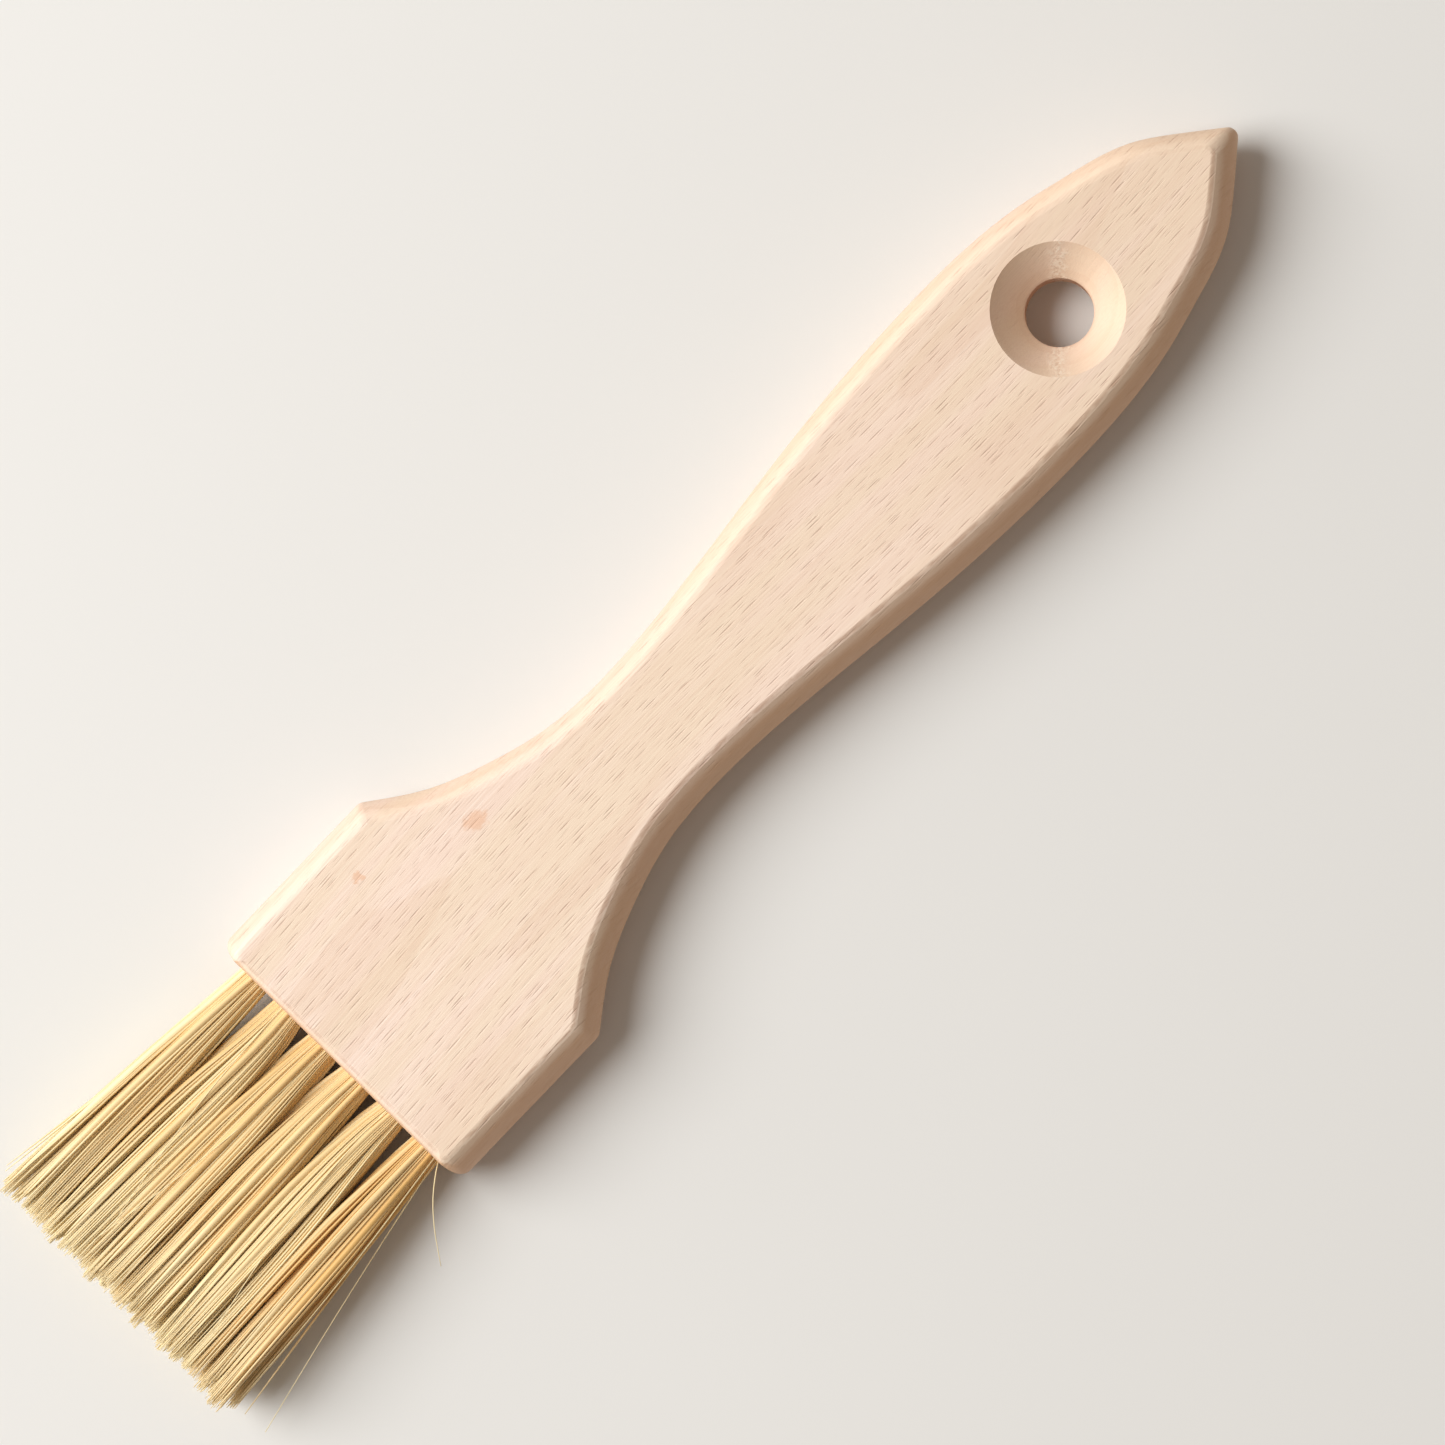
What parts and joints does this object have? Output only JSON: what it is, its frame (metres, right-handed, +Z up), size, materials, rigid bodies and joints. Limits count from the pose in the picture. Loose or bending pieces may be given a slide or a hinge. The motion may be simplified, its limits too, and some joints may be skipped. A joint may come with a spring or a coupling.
{
  "type": "pastry brush",
  "caption": "Flat wooden pastry brush with a waisted, pointed handle, a countersunk hanging hole and one row of natural bristle tufts set in the end of its wide head.",
  "frame": {"origin": "under the middle of the overall length, on the plane that the brush lies on", "axes": "+X along the brush towards the pointed tail, the bristles pointing to -X; +Y across it; +Z up out of its top face, the one with the larger countersink"},
  "size_m": [0.2, 0.0418, 0.01],
  "materials": {
    "beech": "sanded, unfinished beech",
    "bristle": "natural blond bristle",
    "anchor_wire": "flat tinned steel wire"
  },
  "bodies": {
    "handle": {"handle": "beech", "anchor_1": "anchor_wire", "anchor_2": "anchor_wire", "anchor_3": "anchor_wire", "anchor_4": "anchor_wire", "anchor_5": "anchor_wire", "anchor_6": "anchor_wire", "tuft_root_1": "bristle", "tuft_root_2": "bristle", "tuft_root_3": "bristle", "tuft_root_4": "bristle", "tuft_root_5": "bristle", "tuft_root_6": "bristle"},
    "tuft_1": {"tuft_1": "bristle"},
    "tuft_2": {"tuft_2": "bristle"},
    "tuft_3": {"tuft_3": "bristle"},
    "tuft_4": {"tuft_4": "bristle"},
    "tuft_5": {"tuft_5": "bristle"},
    "tuft_6": {"tuft_6": "bristle"}
  },
  "joints": [
    {"name": "tuft_1_flex", "type": "hinge", "parent": "handle", "child": "tuft_1", "pos_m": [-0.066, -0.015, 0.005], "axis": [0, 1, 0], "range_deg": [-35, 35], "stiffness_Nm_per_rad": 0.006},
    {"name": "tuft_2_flex", "type": "hinge", "parent": "handle", "child": "tuft_2", "pos_m": [-0.066, -0.009, 0.005], "axis": [0, 1, 0], "range_deg": [-35, 35], "stiffness_Nm_per_rad": 0.006},
    {"name": "tuft_3_flex", "type": "hinge", "parent": "handle", "child": "tuft_3", "pos_m": [-0.066, -0.003, 0.005], "axis": [0, 1, 0], "range_deg": [-35, 35], "stiffness_Nm_per_rad": 0.006},
    {"name": "tuft_4_flex", "type": "hinge", "parent": "handle", "child": "tuft_4", "pos_m": [-0.066, 0.003, 0.005], "axis": [0, 1, 0], "range_deg": [-35, 35], "stiffness_Nm_per_rad": 0.006},
    {"name": "tuft_5_flex", "type": "hinge", "parent": "handle", "child": "tuft_5", "pos_m": [-0.066, 0.009, 0.005], "axis": [0, 1, 0], "range_deg": [-35, 35], "stiffness_Nm_per_rad": 0.006},
    {"name": "tuft_6_flex", "type": "hinge", "parent": "handle", "child": "tuft_6", "pos_m": [-0.066, 0.015, 0.005], "axis": [0, 1, 0], "range_deg": [-35, 35], "stiffness_Nm_per_rad": 0.006}
  ]
}
